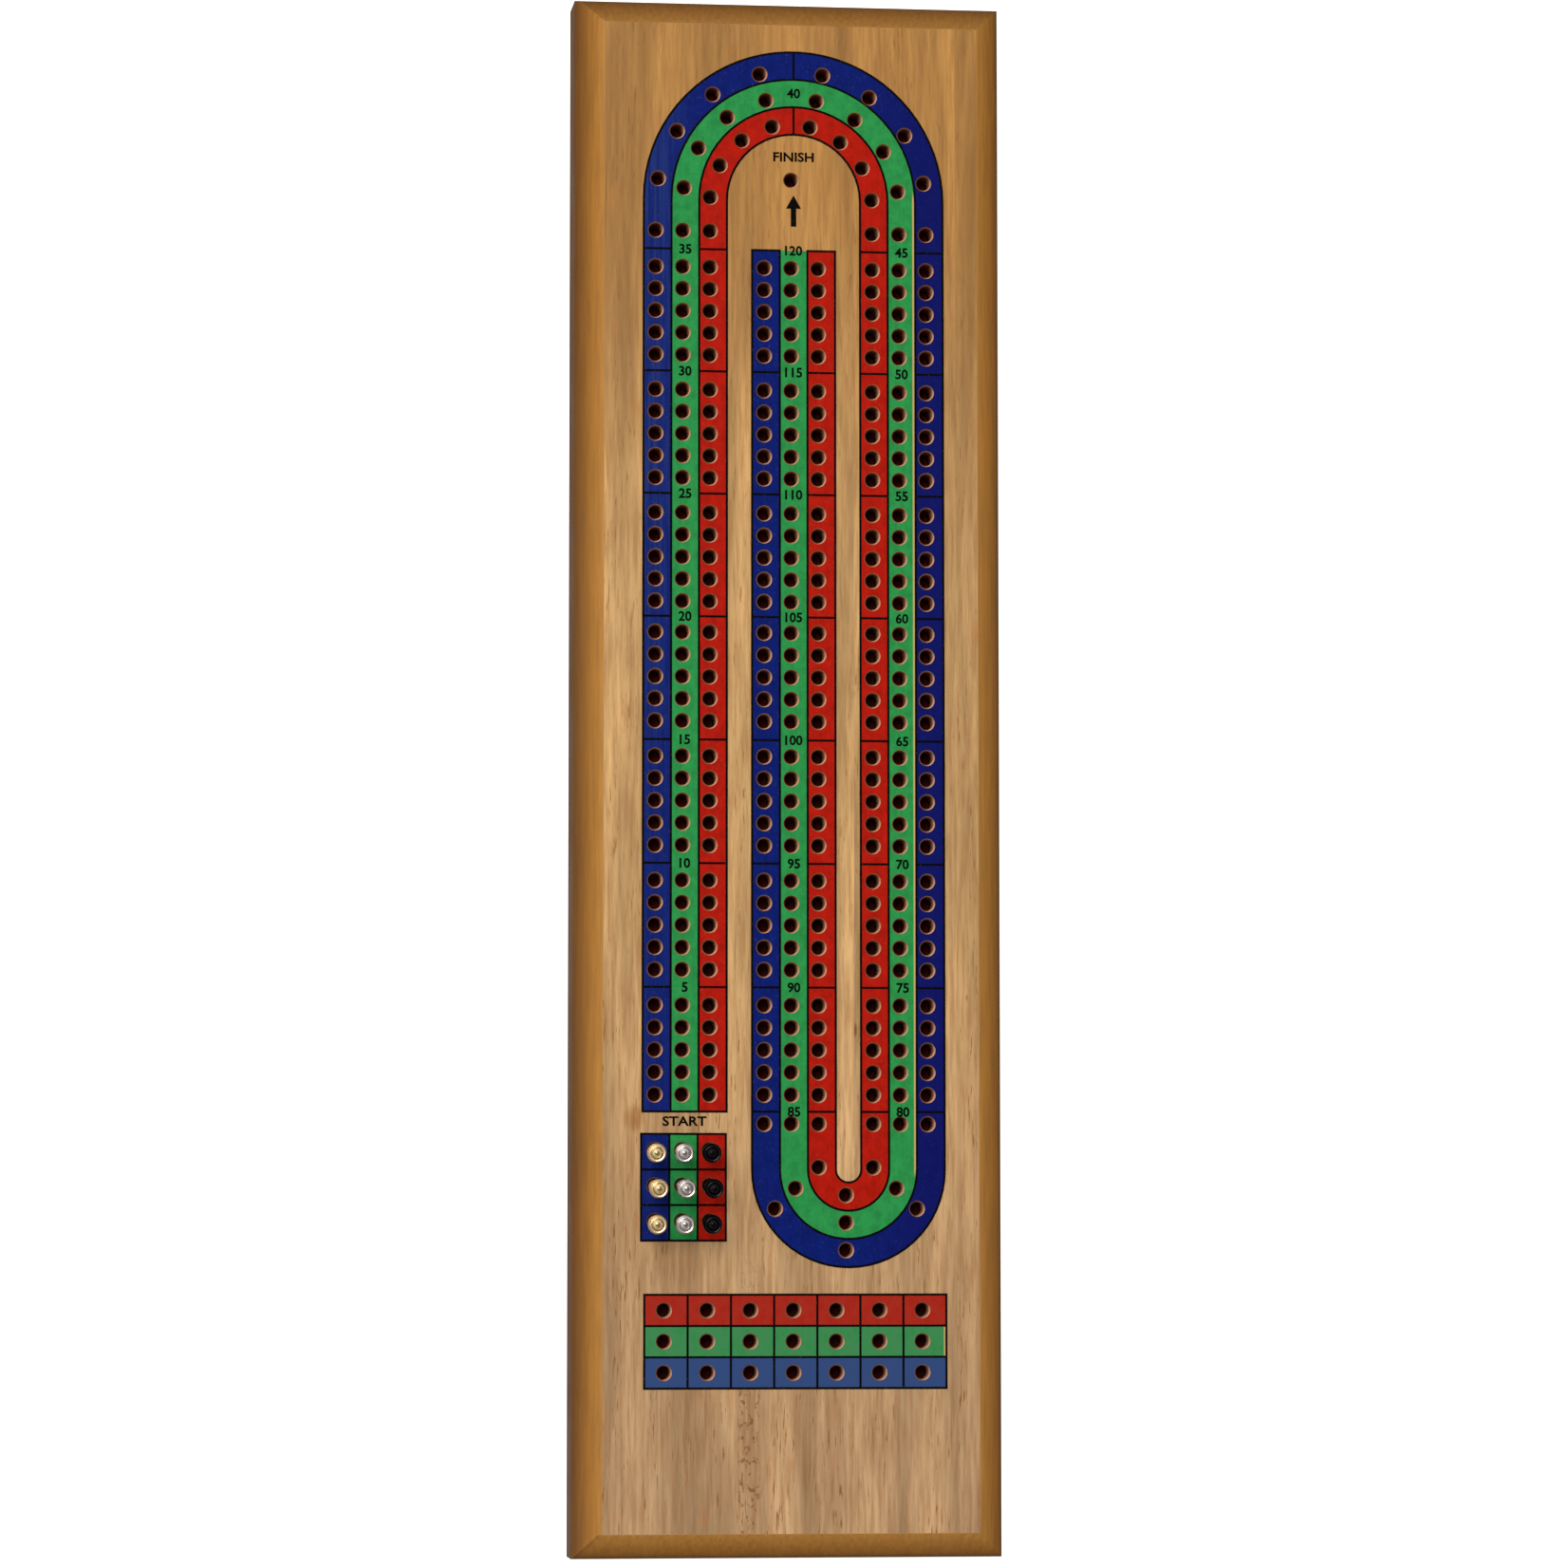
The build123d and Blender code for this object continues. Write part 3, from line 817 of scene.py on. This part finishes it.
class CRIBBAGE_OT_print_numbers(bpy.types.Operator):
    """Prints every fifth number in the green lane"""

    bl_idname = "cribbage.print_numbers"
    bl_label = "Print the numbers"

    def execute(self, context):
        board = settings().board
        layer = board.thick + board.ink
        bm = bmesh.new()
        for index in range(board.separators):
            y = board.separator_top - index * board.separator_step
            going_up = HOLES_PER_NUMBER * (board.separators - 1 - index)
            coming_down = TURN_NUMBER + HOLES_PER_NUMBER * (index + 1)
            rows = [(1, coming_down), (0, LAST_NUMBER - HOLES_PER_NUMBER * index)]
            if going_up:
                rows.append((-1, going_up))
            for group, number in rows:
                x = board.track_x + group * board.track_pitch
                lettering(bm, str(number), (x, y), board.number_height, layer)
        lettering(bm, str(TURN_NUMBER), (board.track_x, board.apex_y), board.number_height, layer)
        piece = finish_mesh(bm, "track_numbers", black_ink())
        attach(piece, "board")
        return {"FINISHED"}


class CRIBBAGE_OT_print_words(bpy.types.Operator):
    """Prints the two words that say where play starts and finishes"""

    bl_idname = "cribbage.print_words"
    bl_label = "Print the words"

    def execute(self, context):
        board = settings().board
        words = (
            ("START", board.start_word, board.start_width),
            ("FINISH", board.finish_word, board.finish_width),
        )
        for word, place, width in words:
            bm = bmesh.new()
            lettering(bm, word, place, board.word_height, board.thick, width)
            piece = finish_mesh(bm, word.lower() + "_word", black_ink())
            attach(piece, "board")
        return {"FINISHED"}


class CRIBBAGE_OT_turn_pegs(bpy.types.Operator):
    """Turns the nine metal pegs and stands them in the start holes"""

    bl_idname = "cribbage.turn_pegs"
    bl_label = "Turn the pegs"

    def execute(self, context):
        pegs = settings().pegs
        colours = settings().colours
        plates = {
            # Each plate's second colour is patchy tarnish and also the painted shade of the crown and body
            # of a peg.
            "gold": ("gold_plate", colours.gold, srgb(150, 116, 66), 0.20),
            "silver": ("nickel_plate", colours.silver, srgb(132, 112, 110), 0.16),
            "black": ("black_nickel", colours.dark, srgb(14, 12, 14), 0.08),
        }
        for column, metal in enumerate(METALS):
            slot, plate, tarnish_and_painted_shade, roughness = plates[metal]
            material = plate_material(slot, list(plate), tarnish_and_painted_shade, roughness)
            for row in range(PEGS_PER_METAL):
                node = f"{metal}_peg_{row + 1}"
                hole = (pegs.first_x + column * pegs.column_step, pegs.first_y - row * pegs.row_step)
                piece = turned_peg(f"turned_{node}", material, hole, row)
                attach(piece, node)
                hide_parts(node)
        return {"FINISHED"}


class CRIBBAGE_OT_finish_door(bpy.types.Operator):
    """Brushes the sliding door of the peg store"""

    bl_idname = "cribbage.finish_door"
    bl_label = "Finish the door"

    def execute(self, context):
        paint(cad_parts["store_door"], steel_material())
        return {"FINISHED"}


class CRIBBAGE_OT_set_stage(bpy.types.Operator):
    """Lays the floor, hangs the light and sets up the camera"""

    bl_idname = "cribbage.set_stage"
    bl_label = "Set the stage"

    def execute(self, context):
        lay_floor()
        light_studio(context.scene)
        place_camera(context.scene)
        context.scene.view_settings.view_transform = "Standard"
        return {"FINISHED"}


def lay_floor():
    """A pale floor just under the board, that only the camera sees, and only from above."""
    bm = bmesh.new()
    bmesh.ops.create_grid(bm, x_segments=1, y_segments=1, size=FLOOR_REACH)
    bmesh.ops.translate(bm, verts=bm.verts[:], vec=(0, 0, -FLOOR_DROP))
    material, nodes, shader = new_material("pale_floor")
    grain = nodes.noise(nodes.object_vector(), (900, 900, 900), detail=2)
    base = nodes.mix(grain, opaque([0.48] * 3), opaque([0.52] * 3))
    nodes.put(base, shader.inputs["Base Color"])
    shader.inputs["Roughness"].default_value = 0.9
    shader.inputs["Emission Color"].default_value = (1, 1, 1, 1)
    shader.inputs["Emission Strength"].default_value = 1.0
    seen = nodes.add("ShaderNodeLightPath").outputs["Is Camera Ray"]
    from_below = nodes.add("ShaderNodeNewGeometry").outputs["Backfacing"]
    solid = nodes.math("MULTIPLY", seen, nodes.math("SUBTRACT", 1.0, from_below))
    clear = nodes.add("ShaderNodeBsdfTransparent")
    either = nodes.add("ShaderNodeMixShader", {"Fac": solid})
    nodes.put(clear.outputs[0], either.inputs[1])
    nodes.put(shader.outputs[0], either.inputs[2])
    nodes.put(either.outputs[0], material.node_tree.nodes["Material Output"].inputs["Surface"])
    floor = finish_mesh(bm, "floor", material)


def light_studio(scene):
    """One soft key from the upper left, and a soft sky that is brightest at mid height."""
    studio = settings().studio
    lamp = bpy.data.lights.new("key_light", "AREA")
    lamp.shape = "DISK"
    lamp.size = KEY_SIZE
    lamp.energy = studio.key_power
    key = bpy.data.objects.new("key_light", lamp)
    scene.collection.objects.link(key)
    stand = Vector(KEY_PLACE)
    key.location = stand
    key.rotation_euler = (-stand).to_track_quat("-Z", "Y").to_euler()
    world = bpy.data.worlds.new("studio")
    world.use_nodes = True
    world.node_tree.nodes.clear()
    nodes = Nodes(world.node_tree)
    direction = nodes.add("ShaderNodeTexCoord").outputs["Generated"]
    x, y, z = nodes.parts(direction)
    from_key = nodes.math("SUBTRACT", y, x)
    side = nodes.span(from_key, -1.0, 1.0, 0.55, 1.15, smooth=False)
    ring = nodes.math("MULTIPLY", nodes.span(z, 0.0, 0.35, 0.5, 1.15), nodes.span(z, 0.55, 1.0, 1.0, 0.55))
    soft = nodes.math("MULTIPLY", nodes.math("MULTIPLY", side, ring), studio.sky)
    seen = nodes.add("ShaderNodeLightPath").outputs["Is Camera Ray"]
    strength = nodes.math("MAXIMUM", soft, seen)
    sky = nodes.add("ShaderNodeBackground", {"Color": (1, 1, 1, 1), "Strength": strength})
    nodes.add("ShaderNodeOutputWorld", {"Surface": sky.outputs[0]})
    scene.world = world


def place_camera(scene):
    studio = settings().studio
    lens = bpy.data.cameras.new("camera")
    lens.lens = studio.lens
    lens.sensor_width = SENSOR_WIDTH
    camera = bpy.data.objects.new("camera", lens)
    scene.collection.objects.link(camera)
    back = Vector((-math.tan(studio.from_left), -math.tan(studio.from_foot), 1.0)).normalized()
    right = Vector((math.sin(studio.roll), math.cos(studio.roll), 0)).cross(back).normalized()
    turn = Matrix((right, back.cross(right), back)).transposed().to_4x4()
    camera.matrix_world = Matrix.Translation(Vector(studio.aim) + back * studio.distance) @ turn
    scene.camera = camera


# ---------------------------------------------------------------- panel and running


OPERATORS = (
    CRIBBAGE_OT_finish_staves,
    CRIBBAGE_OT_colour_print,
    CRIBBAGE_OT_print_numbers,
    CRIBBAGE_OT_print_words,
    CRIBBAGE_OT_turn_pegs,
    CRIBBAGE_OT_finish_door,
    CRIBBAGE_OT_set_stage,
)


class CRIBBAGE_PT_board(bpy.types.Panel):
    """Lists the making steps of the board"""

    bl_label = "Cribbage board"
    bl_idname = "CRIBBAGE_PT_board"
    bl_space_type = "VIEW_3D"
    bl_region_type = "UI"
    bl_category = "Cribbage"

    def draw(self, context):
        for operator in OPERATORS:
            self.layout.operator(operator.bl_idname)


SETTING_GROUPS = (BoardSettings, PegSettings, ColourSettings, StudioSettings, CribbageSettings)
CLASSES = (*SETTING_GROUPS, *OPERATORS, CRIBBAGE_PT_board)


def register():
    for cls in CLASSES:
        bpy.utils.register_class(cls)
    bpy.types.Scene.cribbage = PointerProperty(type=CribbageSettings)


def unregister():
    del bpy.types.Scene.cribbage
    for cls in reversed(CLASSES):
        bpy.utils.unregister_class(cls)


def main():
    register()
    wood_grain_group()
    board_zones_group()
    ink_wear_group()
    handling_group()
    bpy.ops.cribbage.finish_staves()
    bpy.ops.cribbage.colour_print()
    bpy.ops.cribbage.print_numbers()
    bpy.ops.cribbage.print_words()
    bpy.ops.cribbage.turn_pegs()
    bpy.ops.cribbage.finish_door()
    bpy.ops.cribbage.set_stage()


if __name__ == "__main__":
    main()
